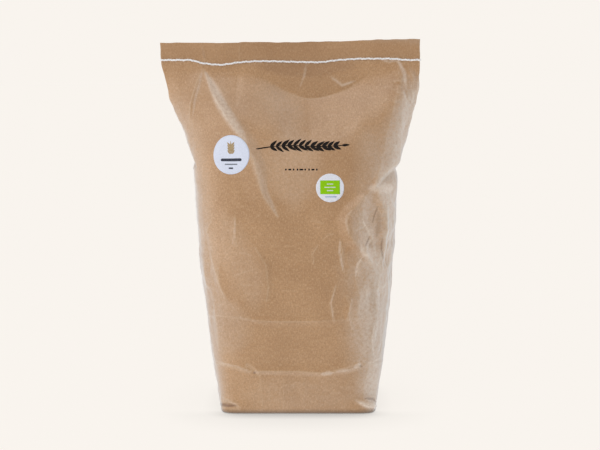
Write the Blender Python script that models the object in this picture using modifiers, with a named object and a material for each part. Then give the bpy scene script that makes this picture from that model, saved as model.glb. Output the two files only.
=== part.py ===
"""A kraft paper bag of flour, standing on its folded block bottom, with a sewn top and two round labels.

The bag starts as a flat paper tube. At the top the tube is still flat and is sewn shut. Further down the flour
fills it to a rounded box. Each height has one outline, a superellipse between the two side folds, and its points
are spaced evenly along the paper, so every column of the mesh is a straight line of the flat tube. Folds and
creases are then pressed into that surface from lines given on the flat paper.

Metres, +Z up, front towards -Y. The origin is under the middle of the bag, on the surface it stands on.
"""

import math

import bmesh
import bpy
import numpy as np

MM = 0.001

# The flat tube
FLAT_WIDTH = 281 * MM
HALF_FLAT = FLAT_WIDTH / 2
HEIGHT = 398 * MM
SEAM_HEIGHT = 377 * MM
BASE_EDGE_RADIUS = 5 * MM

# How far the sewing line and the cut edge rise or dip: place across, rise, both in millimetres
LIFT_START = 335 * MM
SEAM_LIFT = ((-141, 1), (-109, 1), (-94, -2.5), (-75, -4.2), (-55, -1.6), (-33, -0.3), (31, -1.4), (53, 1),
             (81, 2.4), (108, 2.4), (128, 1), (141, 1))
EDGE_LIFT = ((-141, -1.8), (-40, -1.3), (30, -0.6), (100, 1.8), (141, 2.5))

# The flat top waves a little to the front and the back
HEM_WAVE = 1.8 * MM
HEM_WAVE_LENGTH = 205 * MM
HEM_WAVE_START = 290 * MM

# The sewing thread, a stitch of the front and a stitch of the back
THREAD_DIAMETER = 1.8 * MM
THREAD_POINTS = 44
THREAD_END_GAP = 1.5 * MM
CLEARANCE = 0.3 * MM

# The labels: radius, then the middle on the flat front, across and up
LABEL_THICKNESS = 0.3 * MM
LABEL_CLEARANCE = 0.75 * MM
LABEL_RINGS = 5
LABEL_SEGMENTS = 36
LABELS = {"label_large": (20 * MM, -70.3 * MM, 277.5 * MM), "label_small": (15 * MM, 35.9 * MM, 243.5 * MM)}

# Mesh fineness
COLUMNS = 42
ROW_STEP = 7.0 * MM
OUTLINE_SAMPLES = 241

# The outline at each height, in millimetres: height, left fold, right fold, front depth, back depth, and how
# square the outline is across and along the depth. 2 and 2 make an ellipse, and 1 makes the ends sharp.
OUTLINES = (
    (0, -75, 93.5, 59, 59, 8.0, 7.0),
    (20, -80, 98.5, 61, 61, 5.5, 5.0),
    (50, -85, 104, 62, 62, 4.6, 4.0),
    (100, -91, 110.5, 61, 62, 4.0, 3.4),
    (150, -98, 115, 58, 60, 3.7, 3.0),
    (200, -101, 116.5, 54, 58, 3.8, 3.0),
    (240, -103.5, 117.5, 49, 53, 4.2, 3.0),
    (270, -106.5, 121.5, 44, 47, 4.4, 2.7),
    (300, -117, 129.5, 36, 38, 3.6, 1.9),
    (330, -129.5, 137, 26, 26, 2.8, 1.33),
    (353, -135, 139.5, 12.5, 12.5, 2.4, 1.12),
    (366, -138, 140.5, 4.0, 4.0, 2.6, 1.0),
    (373, -139.5, 140.5, 0.9, 0.9, 4.0, 1.0),
    (382, -140, 140.5, 0.7, 0.7, 6.0, 1.0),
    (398, -140.5, 140.5, 0.7, 0.7, 6.0, 1.0),
)

# Where on the girth each face has its middle, in half flat widths from the middle of the front
FACES = {"front": 0.0, "right": 1.0, "back": 2.0, "left": 3.0}

# Under the seam the two faces are pressed together down to an arch: across, up. Below it they open.
PRESSED = 0.86
LEAST_DEPTH = 0.3
ARCHES = {
    "front": (58, ((-141, 392), (-100, 388), (-56, 368), (-33, 358), (-3, 342), (19, 336), (53, 343), (87, 362),
                   (108, 380), (141, 392))),
    "back": (70, ((-141, 392), (-105, 385), (-70, 362), (-20, 345), (24, 348), (66, 365), (100, 384), (141, 392))),
}

# Soft bulges and dents in millimetres: face, middle across, middle up, reach across, reach up, height
SWELLS = (
    ("front", 96, 300, 22, 30, -2.0),
    ("front", 0, 150, 60, 60, 2.0),
    ("front", 98, 130, 38, 90, -5.5),
    ("back", 30, 160, 60, 70, 2.0),
    ("back", -60, 300, 30, 34, -3.0),
)

# Folds in millimetres: face, height of the ridge (below 0 for a valley), reach on its left and on its right, and
# the line on the flat paper. Lines run up or to the right, so their left is the left side or the upper side.
FOLDS = (
    # The fold that runs from the seam down to the middle of the front, and the small one beside its top
    ("front", 6.0, 28, 11, ((-20, 213), (-36, 237), (-44, 268), (-54, 288), (-72, 313), (-89, 344), (-96, 375))),
    ("front", 1.8, 12, 6, ((-120, 308), (-113, 332), (-106, 351), (-95, 373))),
    # The softer ridge on the other side
    ("front", 3.5, 26, 22, ((95, 276), (101, 300), (109, 325), (118, 350), (124, 374))),
    # The tucks at the two sides, where the flat top opens into the full body
    ("front", -5.0, 8, 12, ((82, 240), (98, 251), (111, 257), (128, 261), (141, 262), (168, 252))),
    ("left", -5.5, 8, 8, ((-26, 258), (0, 273), (26, 263))),
    # The front edge of the right side, the edge of the pressed-in patch beside it, and the long soft ridge on the left
    ("front", 4.5, 8, 22, ((97, 150), (97, 190), (97, 214), (89, 234), (86, 249), (93, 270))),
    ("front", 5.0, 10, 18, ((84, 156), (62, 184), (54, 195), (52, 209), (58, 219), (72, 233), (88, 246))),
    ("front", 1.2, 7, 9, ((-75, 112), (-80, 129), (-86, 150), (-98, 178))),
    # The block bottom: its fold line round the bag, the print of the folded flap, and the side triangles
    ("front", 1.6, 8, 4, ((-119, 46), (-84, 54), (-52, 48), (0, 48), (28, 46), (52, 49), (72, 54), (134, 48))),
    ("front", 0.9, 6, 6, ((-139, 100), (-87, 106), (-58, 105), (-31, 102), (2, 102), (34, 103), (56, 105), (110, 105))),
    ("back", 1.0, 8, 5, ((-112, 52), (-50, 50), (0, 48), (50, 50), (112, 52))),
    ("left", -1.6, 7, 7, ((-54, 4), (0, 54))),
    ("left", -1.6, 7, 7, ((0, 54), (54, 4))),
    ("right", -1.6, 7, 7, ((-54, 4), (0, 54))),
    ("right", -1.6, 7, 7, ((0, 54), (54, 4))),
    ("left", 0.9, 6, 6, ((0, 40), (0, 150), (0, 262))),
    ("right", 0.9, 6, 6, ((0, 40), (0, 150), (0, 250))),
    # The folds of the back
    ("back", 4.2, 26, 12, ((22, 222), (42, 262), (66, 312), (92, 372))),
    ("back", 3.8, 12, 24, ((-16, 236), (-40, 276), (-68, 322), (-98, 374))),
    ("back", -3.5, 10, 12, ((-150, 266), (-118, 258), (-92, 246), (-66, 228))),
    ("back", 1.6, 9, 9, ((-86, 150), (-76, 186), (-62, 214))),
)


def smooth_between(heights, values, z):
    """A smooth curve through the values that keeps their rises and falls, read at z."""
    x = np.asarray(heights, float)
    y = np.asarray(values, float)
    slope = np.diff(y) / np.diff(x)
    tangent = np.zeros(len(x))
    same_way = slope[:-1] * slope[1:] > 0
    tangent[1:-1][same_way] = 2 * slope[:-1][same_way] * slope[1:][same_way] / (slope[:-1] + slope[1:])[same_way]
    tangent[0] = slope[0]
    tangent[-1] = slope[-1]
    k = np.clip(np.searchsorted(x, z, side="right") - 1, 0, len(x) - 2)
    h = x[k + 1] - x[k]
    t = np.clip((z - x[k]) / h, 0, 1)
    from_low = (1 + 2 * t) * (1 - t) ** 2 * y[k] + t * (1 - t) ** 2 * h * tangent[k]
    from_high = t**2 * (3 - 2 * t) * y[k + 1] + t**2 * (t - 1) * h * tangent[k + 1]
    return from_low + from_high


def read_curve(curve, x):
    """A curve given as pairs in millimetres, read at x in metres."""
    places, values = np.array(curve).T
    return smooth_between(places, values, x / MM) * MM


def outline_at(z):
    """Left fold, right fold, front depth, back depth and the two squarenesses at height z."""
    table = np.array(OUTLINES)
    values = [smooth_between(table[:, 0] * MM, table[:, i], z) for i in range(1, 7)]
    return [value * MM for value in values[:4]] + values[4:]


def half_outline(z, depth, shares):
    """Points of the front (depth below 0) or the back at height z, at these shares of the way along the paper."""
    left, right, _, _, square_x, square_y = outline_at(z)
    angle = np.linspace(math.pi, 0, OUTLINE_SAMPLES)
    cosine = np.cos(angle)
    x = (left + right) / 2 + (right - left) / 2 * np.sign(cosine) * np.abs(cosine) ** (2 / square_x)
    y = depth * np.abs(np.sin(angle)) ** (2 / square_y)
    along = np.concatenate([[0], np.cumsum(np.hypot(np.diff(x), np.diff(y)))])
    return np.interp(shares * along[-1], along, x), np.interp(shares * along[-1], along, y)


def ring_at(z, columns):
    """The whole outline at height z: the front from left to right, then the back from right to left."""
    _, _, front, back, _, _ = outline_at(z)
    shares = np.arange(columns) / columns
    front_x, front_y = half_outline(z, -front, shares)
    back_x, back_y = half_outline(z, back, 1 - shares)
    ring = np.zeros((2 * columns, 3))
    ring[:, 0] = np.concatenate([front_x, back_x])
    ring[:, 1] = np.concatenate([front_y, back_y])
    ring[:, 2] = z
    return ring


def girth_of(columns):
    """How far round the flat tube each column is, from the middle of the front."""
    return -HALF_FLAT + FLAT_WIDTH * np.arange(2 * columns) / columns


def across(face, girth):
    """Distance round the tube from the middle of a face, the short way."""
    span = 2 * FLAT_WIDTH
    return (girth - FACES[face] * HALF_FLAT + span / 2) % span - span / 2


def pressed_share(girth, z):
    """How much of its depth the paper loses under the seam, from 0 to 1."""
    share = np.zeros(np.broadcast(girth, z).shape)
    for face, (reach, arch) in ARCHES.items():
        x = across(face, girth)
        below = np.clip((read_curve(arch, x) - z) / (reach * MM), 0, 1)
        share = np.where(np.abs(x) <= HALF_FLAT, PRESSED * (1 - below) ** 2, share)
    return share


def distance_to_line(x, z, line):
    """Distance on the flat paper to a fold, which side of it a place is on, and how far along it, from 0 to 1."""
    points = np.array(line) * MM
    lengths = np.hypot(*np.diff(points, axis=0).T)
    start = np.concatenate([[0], np.cumsum(lengths)])
    best = np.full(np.broadcast(x, z).shape, np.inf)
    on_left = np.zeros(best.shape, bool)
    along = np.zeros_like(best)
    for i, (a, b) in enumerate(zip(points[:-1], points[1:])):
        d = b - a
        t = np.clip(((x - a[0]) * d[0] + (z - a[1]) * d[1]) / (d @ d), 0, 1)
        gap = np.hypot(x - a[0] - t * d[0], z - a[1] - t * d[1])
        nearer = gap < best
        best = np.where(nearer, gap, best)
        on_left = np.where(nearer, d[0] * (z - a[1]) > d[1] * (x - a[0]), on_left)
        along = np.where(nearer, (start[i] + t * lengths[i]) / start[-1], along)
    return best, on_left, along


def flank(t):
    """The side of a fold: a flat slope from 1 down to 0 at t = 1, with a soft foot."""
    return (1 - t + np.sqrt((1 - t) ** 2 + 0.03)) / 2


def fold_height(x, z, rise, left_reach, right_reach, line):
    """How far one fold lifts the paper: full on its line, lower and narrower towards both ends."""
    gap, on_left, along = distance_to_line(x, z, line)
    taper = np.clip(1 - (2 * along - 1) ** 2, 0.05, 1)
    reach = np.where(on_left, left_reach, right_reach) * taper * MM
    return rise * MM * taper * np.clip(flank(gap / reach) - flank(3), 0, 1)


def relief(girth, z):
    """How far the paper stands out from the smooth bag."""
    height = np.zeros(np.broadcast(girth, z).shape)
    for face, x0, z0, reach_x, reach_z, rise in SWELLS:
        x = across(face, girth)
        height += rise * MM * np.exp(-(((x / MM - x0) / reach_x) ** 2) - ((z / MM - z0) / reach_z) ** 2)
    for face, rise, left_reach, right_reach, line in FOLDS:
        height += fold_height(across(face, girth), z, rise, left_reach, right_reach, line)
    hem = np.clip((SEAM_HEIGHT - 3 * MM - z) / (12 * MM), 0, 1)
    foot = np.clip(z / (15 * MM), 0, 1)
    return height * hem * foot


def bag_rows():
    """Heights of the mesh rows: close together round the bottom edge and the seam, even between them."""
    foot = [BASE_EDGE_RADIUS * (1 - math.cos(a)) for a in np.radians((0, 35, 62, 90))]
    count = round((SEAM_HEIGHT - 6 * MM - foot[-1]) / ROW_STEP)
    body = list(np.linspace(foot[-1], SEAM_HEIGHT - 6 * MM, count))[1:]
    hem = [SEAM_HEIGHT - 3 * MM, SEAM_HEIGHT, SEAM_HEIGHT + 3 * MM, (SEAM_HEIGHT + HEIGHT) / 2, HEIGHT]
    return np.array(foot + body + hem)


def facing(points, rows):
    """The way each point of the grid faces."""
    round_way = np.roll(points, -1, axis=1) - np.roll(points, 1, axis=1)
    up_way = np.gradient(points, rows, axis=0)
    normals = np.cross(round_way, up_way)
    return normals / np.linalg.norm(normals, axis=2, keepdims=True)


def lift_hem(points, z):
    """Follows the uneven sewing line and cut edge, and waves the flat top to the front and the back."""
    x = points[:, :, 0]
    under_seam = np.clip((z - LIFT_START) / (SEAM_HEIGHT - LIFT_START), 0, 1)
    over_seam = np.clip((z - SEAM_HEIGHT) / (HEIGHT - SEAM_HEIGHT), 0, 1)
    points[:, :, 2] += under_seam * (1 - over_seam) * read_curve(SEAM_LIFT, x) + over_seam * read_curve(EDGE_LIFT, x)
    flatness = np.clip((z - HEM_WAVE_START) / (SEAM_HEIGHT - HEM_WAVE_START), 0, 1) ** 2
    points[:, :, 1] += flatness * HEM_WAVE * np.sin(2 * math.pi * x / HEM_WAVE_LENGTH + 0.6)


def bag_surface(rows, columns):
    """The bag's points, row by row, and the way each one faces."""
    points = np.array([ring_at(z, columns) for z in rows])
    girth, z = np.meshgrid(girth_of(columns), rows)
    points[:, :, 1] *= 1 - pressed_share(girth, z)
    normals = facing(points, rows)
    least = LEAST_DEPTH * points[:, :, 1]
    low = np.clip(BASE_EDGE_RADIUS - rows, 0, None)
    rounding = BASE_EDGE_RADIUS - np.sqrt(BASE_EDGE_RADIUS**2 - low**2)
    sideways = normals * (1, 1, 0)
    points = points + normals * relief(girth, z)[:, :, None] - sideways * rounding[:, None, None]
    front = np.arange(2 * columns) < columns
    points[:, :, 1] = np.where(front, np.minimum(points[:, :, 1], least), np.maximum(points[:, :, 1], least))
    points[rows == 0, :, 2] = 0
    lift_hem(points, z)
    return points, facing(points, rows)


def on_paper(grid, rows, girth, z):
    """Reads a grid of the bag's surface at places on the flat paper."""
    count = grid.shape[1]
    column = (girth + HALF_FLAT) / (2 * FLAT_WIDTH) * count
    left = np.floor(column).astype(int)
    low = np.clip(np.searchsorted(rows, z, side="right") - 1, 0, len(rows) - 2)
    s = (column - left)[..., None]
    t = ((z - rows[low]) / (rows[low + 1] - rows[low]))[..., None]
    lower = grid[low, left % count] * (1 - s) + grid[low, (left + 1) % count] * s
    upper = grid[low + 1, left % count] * (1 - s) + grid[low + 1, (left + 1) % count] * s
    return lower * (1 - t) + upper * t


def put(name, data, material):
    """Makes an object of a mesh or curve in the bag's collection, with its material."""
    thing = bpy.data.objects.new(name, data)
    thing.data.materials.append(material)
    bpy.data.collections["flour_bag"].objects.link(thing)
    return thing


def material_of(name, colour, roughness):
    """A plain Principled material."""
    material = bpy.data.materials.new(name)
    material.use_nodes = True
    shader = material.node_tree.nodes["Principled BSDF"]
    shader.inputs["Base Color"].default_value = (*colour, 1)
    shader.inputs["Roughness"].default_value = roughness
    shader.inputs["Metallic"].default_value = 0
    return material


def make_bag(rows, points):
    """The filled bag as one loft from the block bottom to the flat top."""
    shape = bmesh.new()
    rings = [[shape.verts.new(p) for p in row] for row in points]
    count = 2 * COLUMNS
    for lower, upper in zip(rings[:-1], rings[1:]):
        for i in range(count):
            j = (i + 1) % count
            shape.faces.new((lower[i], lower[j], upper[j], upper[i]))
    shape.faces.new(rings[0][::-1])
    top = rings[-1]
    for i in range(COLUMNS):
        j = i + 1
        back_i = (count - i) % count
        back_j = count - j
        corners = [top[i], top[j], top[back_j], top[back_i]]
        shape.faces.new(list(dict.fromkeys(corners)))
    mesh = bpy.data.meshes.new("bag")
    shape.to_mesh(mesh)
    shape.free()
    mesh.shade_smooth()
    mesh.set_sharp_from_angle(angle=math.radians(50))
    return put("bag", mesh, material_of("kraft_paper", (0.42, 0.26, 0.145), 0.5))


def make_label(name, rows, points, normals, material):
    """A round paper label that follows the bag's front, made thick outwards."""
    radius, middle_across, middle_up = LABELS[name]
    shape = bmesh.new()
    spoke = [shape.verts.new((radius * i / LABEL_RINGS, 0, 0)) for i in range(LABEL_RINGS + 1)]
    edges = [shape.edges.new(pair) for pair in zip(spoke[:-1], spoke[1:])]
    bmesh.ops.spin(shape, geom=spoke + edges, cent=(0, 0, 0), axis=(0, 0, 1), angle=2 * math.pi, steps=LABEL_SEGMENTS)
    bmesh.ops.remove_doubles(shape, verts=shape.verts, dist=0.01 * MM)
    flat = np.array([vert.co for vert in shape.verts])
    girth = flat[:, 0] + middle_across
    height = flat[:, 1] + middle_up
    ways = on_paper(normals, rows, girth, height)
    places = on_paper(points, rows, girth, height) + ways * LABEL_CLEARANCE
    for vert, place in zip(shape.verts, places):
        vert.co = place
    bmesh.ops.recalc_face_normals(shape, faces=shape.faces)
    if sum(face.normal.y for face in shape.faces) > 0:
        bmesh.ops.reverse_faces(shape, faces=shape.faces)
    mesh = bpy.data.meshes.new(name)
    shape.to_mesh(mesh)
    shape.free()
    label = put(name, mesh, material)
    thick = label.modifiers.new("thickness", "SOLIDIFY")
    thick.thickness = LABEL_THICKNESS
    thick.offset = 1
    thick.use_even_offset = True
    return label


def make_stitching(name, face, rows, points, normals, material):
    """The sewing thread on one side of the hem, a thin cord that follows the uneven sewing line."""
    radius = THREAD_DIAMETER / 2
    reach = HALF_FLAT - THREAD_END_GAP
    girth = np.linspace(-reach, reach, THREAD_POINTS) + FACES[face] * HALF_FLAT
    height = np.full(THREAD_POINTS, SEAM_HEIGHT)
    places = on_paper(points, rows, girth, height)
    places[:, 1] += (radius + CLEARANCE) * (1 if face == "back" else -1)
    curve = bpy.data.curves.new(name, "CURVE")
    curve.dimensions = "3D"
    curve.bevel_depth = radius
    curve.bevel_resolution = 2
    curve.use_fill_caps = True
    spline = curve.splines.new("POLY")
    spline.points.add(THREAD_POINTS - 1)
    for point, place in zip(spline.points, places):
        point.co = (*place, 1)
    return put(name, curve, material)


def clear_scene():
    """Removes what the scene holds and makes the bag's collection."""
    for thing in list(bpy.data.objects):
        bpy.data.objects.remove(thing)
    bpy.context.scene.collection.children.link(bpy.data.collections.new("flour_bag"))


def main():
    clear_scene()
    rows = bag_rows()
    points, normals = bag_surface(rows, COLUMNS)
    make_bag(rows, points)
    label_paper = material_of("label_paper", (0.84, 0.86, 0.90), 0.45)
    for name in LABELS:
        make_label(name, rows, points, normals, label_paper)
    thread = material_of("sewing_thread", (0.86, 0.85, 0.82), 0.8)
    make_stitching("front_stitching", "front", rows, points, normals, thread)
    make_stitching("back_stitching", "back", rows, points, normals, thread)


main()
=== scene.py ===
"""The looks of the paper flour bag: creased kraft paper, a sewn hem, two stickers and plain print.

The bag's surface is worked out as in the model: outlines by height, arches pressed flat under the seam, and
folds given as lines on the flat paper. This script adds the fine creases, the open lips above the seam, the
stitches, the glued strip and the print, all placed on the flat paper and carried onto that surface.
"""

import math
from contextlib import contextmanager

import bmesh
import bpy
import numpy as np
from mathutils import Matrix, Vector


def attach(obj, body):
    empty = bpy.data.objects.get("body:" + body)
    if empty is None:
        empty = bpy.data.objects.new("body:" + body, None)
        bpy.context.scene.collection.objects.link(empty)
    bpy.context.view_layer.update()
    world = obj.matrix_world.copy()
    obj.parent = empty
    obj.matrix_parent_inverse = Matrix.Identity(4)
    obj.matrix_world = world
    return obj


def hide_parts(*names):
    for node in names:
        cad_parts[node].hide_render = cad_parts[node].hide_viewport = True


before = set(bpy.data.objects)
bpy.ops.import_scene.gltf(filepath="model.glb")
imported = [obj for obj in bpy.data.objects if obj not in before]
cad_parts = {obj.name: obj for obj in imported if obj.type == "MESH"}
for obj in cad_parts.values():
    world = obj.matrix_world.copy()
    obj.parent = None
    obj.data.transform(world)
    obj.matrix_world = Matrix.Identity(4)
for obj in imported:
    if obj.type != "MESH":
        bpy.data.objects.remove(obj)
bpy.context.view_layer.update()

MM = 0.001

# The flat tube, as in the model
FLAT_WIDTH = 281 * MM
HALF_FLAT = FLAT_WIDTH / 2
GIRTH = 2 * FLAT_WIDTH
HEIGHT = 398 * MM
SEAM_HEIGHT = 377 * MM
BASE_EDGE_RADIUS = 1.8 * MM
LIFT_START = 335 * MM
SEAM_LIFT = ((-141, 1), (-109, 1), (-94, -2.5), (-75, -4.2), (-55, -1.6), (-33, -0.3), (31, -1.4), (53, 1),
             (81, 2.4), (108, 2.4), (128, 1), (141, 1))
EDGE_LIFT = ((-141, -1.8), (-40, -1.3), (30, -0.6), (100, 1.8), (141, 2.5))
HEM_WAVE = 1.8 * MM
HEM_WAVE_LENGTH = 205 * MM
HEM_WAVE_START = 290 * MM
OUTLINE_SAMPLES = 241

# Mesh fineness of the paper
COLUMNS = 220
ROW_STEP = 1.25 * MM

# The paper and what is glued or sewn to it
PAPER_THICKNESS = 0.3 * MM
LIP_OPENING = 1.3 * MM
STITCH_LENGTH = 6.5 * MM
THREAD_RADIUS = 1.05 * MM
THREAD_PLIES = 3
BACK_STRIP_WIDTH = 22 * MM
LABEL_THICKNESS = 0.14 * MM
SHAPE_STEP = 1.4 * MM
LABELS = {"label_large": (20 * MM, -70.3 * MM, 277.5 * MM), "label_small": (15 * MM, 35.9 * MM, 243.5 * MM)}

OUTLINES = (
    (0, -75, 93.5, 59, 59, 12.0, 11.0),
    (20, -80, 98.5, 61, 61, 5.5, 5.0),
    (50, -85, 104, 62, 62, 4.6, 4.0),
    (100, -91, 110.5, 61, 62, 4.0, 3.4),
    (150, -98, 115, 58, 60, 3.7, 3.0),
    (200, -101, 116.5, 54, 58, 3.8, 3.0),
    (240, -103.5, 117.5, 49, 53, 4.2, 3.0),
    (270, -106.5, 121.5, 44, 47, 4.4, 2.7),
    (300, -117, 129.5, 36, 38, 3.6, 1.9),
    (330, -129.5, 137, 26, 26, 2.8, 1.33),
    (353, -135, 139.5, 12.5, 12.5, 2.4, 1.12),
    (366, -138, 140.5, 4.0, 4.0, 2.6, 1.0),
    (373, -139.5, 140.5, 0.9, 0.9, 4.0, 1.0),
    (382, -140, 140.5, 0.7, 0.7, 6.0, 1.0),
    (398, -140.5, 140.5, 0.7, 0.7, 6.0, 1.0),
)
FACES = {"front": 0.0, "right": 1.0, "back": 2.0, "left": 3.0}

PRESSED = 0.86
LEAST_DEPTH = 0.3
ARCHES = {
    "front": (58, ((-141, 392), (-100, 388), (-56, 368), (-33, 358), (-3, 342), (19, 336), (53, 343),
                   (87, 362), (108, 380), (141, 392))),
    "back": (70, ((-141, 392), (-105, 385), (-70, 362), (-20, 345), (24, 348), (66, 365), (100, 384),
                  (141, 392))),
}

# Soft bulges and dents in millimetres: face, middle across, middle up, reach across, reach up, height
SWELLS = (
    ("front", 96, 300, 22, 30, -2.0),
    ("front", 0, 150, 60, 60, 2.0),
    ("front", 98, 130, 38, 90, -5.5),
    ("back", 30, 160, 60, 70, 2.0),
    ("back", -60, 300, 30, 34, -3.0),
)

# The large folds of the model: face, height, reach on the left and on the right of the line, line
FOLDS = (
    ("front", 6.0, 28, 11,
     ((-20, 213), (-36, 237), (-44, 268), (-54, 288), (-72, 313), (-89, 344), (-96, 375))),
    ("front", 1.8, 12, 6, ((-120, 308), (-113, 332), (-106, 351), (-95, 373))),
    ("front", 3.5, 26, 22, ((95, 276), (101, 300), (109, 325), (118, 350), (124, 374))),
    ("front", -5.0, 8, 12, ((82, 240), (98, 251), (111, 257), (128, 261), (141, 262), (168, 252))),
    ("left", -5.5, 8, 8, ((-26, 258), (0, 273), (26, 263))),
    ("front", 4.5, 8, 22, ((97, 150), (97, 190), (97, 214), (89, 234), (86, 249), (93, 270))),
    ("front", 5.0, 10, 18, ((84, 156), (62, 184), (54, 195), (52, 209), (58, 219), (72, 233), (88, 246))),
    ("front", 1.2, 7, 9, ((-75, 112), (-80, 129), (-86, 150), (-98, 178))),
    ("front", 1.6, 8, 4,
     ((-119, 46), (-84, 54), (-52, 48), (0, 48), (28, 46), (52, 49), (72, 54), (134, 48))),
    ("front", 0.9, 6, 6,
     ((-139, 100), (-87, 106), (-58, 105), (-31, 102), (2, 102), (34, 103), (56, 105), (110, 105))),
    ("back", 1.0, 8, 5, ((-112, 52), (-50, 50), (0, 48), (50, 50), (112, 52))),
    ("left", -1.6, 7, 7, ((-54, 4), (0, 54))),
    ("left", -1.6, 7, 7, ((0, 54), (54, 4))),
    ("right", -1.6, 7, 7, ((-54, 4), (0, 54))),
    ("right", -1.6, 7, 7, ((0, 54), (54, 4))),
    ("left", 0.9, 6, 6, ((0, 40), (0, 150), (0, 262))),
    ("right", 0.9, 6, 6, ((0, 40), (0, 150), (0, 250))),
    ("back", 4.2, 26, 12, ((22, 222), (42, 262), (66, 312), (92, 372))),
    ("back", 3.8, 12, 24, ((-16, 236), (-40, 276), (-68, 322), (-98, 374))),
    ("back", -3.5, 10, 12, ((-150, 266), (-118, 258), (-92, 246), (-66, 228))),
    ("back", 1.6, 9, 9, ((-86, 150), (-76, 186), (-62, 214))),
)

# Fine creases, all on the front: height, reach on the left and on the right of the line, line
CREASES = (
    (1.8, 3, 2, ((-95, 398), (-93, 386), (-93, 372))),
    (1.4, 2, 3, ((-55, 398), (-55, 374))),
    (0.8, 2, 3, ((130, 397), (131, 382))),
    # Under the seam
    (-1.1, 15, 6, ((-63, 326), (-61, 348), (-58, 364), (-56, 382))),
    (0.9, 4, 5, ((14, 360), (17, 369), (20, 379))),
    (1.0, 4, 6, ((44, 359), (55, 350), (69, 354))),
    (-0.6, 9, 7, ((-48, 362), (-33, 356), (-8, 342), (19, 336), (50, 342))),
    # The crumpled corner at the right of the seam
    (1.8, 4, 5, ((138, 352), (130, 365), (125, 375), (119, 386))),
    (1.0, 5, 5, ((98, 379), (111, 376), (122, 371))),
    (-1.3, 4, 4, ((127, 332), (123, 346), (123, 360))),
    (1.1, 3, 4, ((134, 334), (134, 347), (134, 360))),
    (0.9, 4, 4, ((122, 338), (129, 336), (137, 334))),
    # The dents and short folds on the right
    (1.2, 4, 5, ((85, 184), (73, 204), (64, 208))),
    (-1.2, 2.5, 3, ((74, 176), (79, 184), (84, 192))),
    (2.0, 4, 7, ((83, 160), (72, 174), (69, 186))),
    (-1.6, 3, 3, ((110, 152), (103, 174), (107, 188))),
    (-1.8, 4, 3, ((97, 192), (94, 207), (97, 221))),
    (1.1, 4, 4, ((49, 153), (45, 165), (47, 176), (45, 192))),
    (1.0, 4, 4, ((64, 148), (64, 162), (71, 170))),
    (0.5, 3, 4, ((26, 189), (33, 194), (41, 196))),
    (0.8, 5, 5, ((86, 106), (86, 117), (86, 127))),
    (2.2, 22, 9, ((60, 150), (66, 128), (62, 106), (70, 84))),
    (2.0, 16, 10, ((84, 140), (88, 112), (84, 86), (90, 62))),
    (-1.2, 8, 12, ((76, 148), (78, 128), (74, 104))),
    (-1.0, 6, 8, ((82, 64), (89, 85), (92, 105))),
    (1.6, 14, 8, ((50, 132), (54, 116), (50, 102))),
    (0.8, 5, 3, ((40, 142), (34, 122), (37, 100))),
    (0.9, 3, 5, ((57, 128), (53, 110), (57, 90))),
    (0.9, 3, 5, ((84, 98), (80, 82), (85, 62))),
    (0.8, 4, 4, ((92, 150), (88, 132), (92, 112))),
    # The left side
    (0.7, 6, 4, ((-64, 181), (-66, 199), (-65, 216))),
    (1.5, 34, 5, ((-34, 120), (-31, 140), (-33, 162), (-46, 184))),
    (0.8, 5, 4, ((-100, 194), (-95, 203), (-90, 209))),
    (0.5, 4, 4, ((-62, 175), (-53, 174), (-46, 171))),
    (1.0, 6, 8, ((-89, 66), (-89, 94), (-94, 121))),
    (-1.0, 9, 9, ((-86, 115), (-95, 159), (-103, 200))),
    # The block bottom
    (-1.4, 3, 4, ((-58, 56), (-50, 49), (-43, 43))),
    (-1.4, 4, 3, ((64, 60), (69, 54), (75, 57))),
    (0.7, 3, 4, ((27, 47), (48, 51), (70, 57))),
    (0.5, 5, 5, ((-10, 30), (-2, 37), (5, 32))),
    (-2.0, 3, 4, ((-86, 9), (-78, 12), (-64, 6))),
    (1.6, 4, 4, ((-88, 17), (-78, 15), (-66, 11))),
    (2.2, 4, 4, ((60, 17), (73, 11), (86, 7), (98, 4))),
    (-1.6, 3, 3, ((76, 16), (87, 14), (95, 9))),
    (0.9, 6, 8, ((73, 11), (73, 33), (79, 53))),
)

# Small random creases: how many are tried, and in millimetres how far they stay off the base and the seam,
# their lengths, heights and reaches. Last, how much their turns and bends spread, in radians.
CREASE_SEED = 11
CREASE_TRIES = 420
CREASE_MARGINS = (10, 15)
CREASE_LENGTHS = (8, 34)
CREASE_HEIGHTS = (0.12, 0.75)
CREASE_REACHES = (2, 8)
CREASE_SPREADS = (0.7, 0.35)

# Where the paper is crumpled: face, middle across, middle up, reach across, reach up, strength
CRUMPLED = (
    ("front", 96, 175, 42, 75, 1.0),
    ("right", 0, 160, 60, 110, 0.5),
    ("front", 128, 350, 20, 26, 0.9),
    ("front", -104, 150, 26, 90, 0.45),
    ("left", 0, 170, 60, 110, 0.45),
    ("left", 0, 300, 40, 50, 0.5),
    ("right", 0, 310, 40, 50, 0.5),
    ("front", 0, 30, 110, 30, 0.3),
    ("back", 0, 180, 130, 150, 0.5),
)
CALM_CRUMPLE = 0.08

# The facets of crumpled paper: size and height in millimetres, and the random seeds of their two layers
CRUMPLE_SIZES = ((60, 3.6, 20, 40), (28, 2.6, 21, 41), (13, 1.2, 22, 42), (7, 0.35, 23, 43))
SECOND_LAYER_SIZE = 0.8

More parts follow.
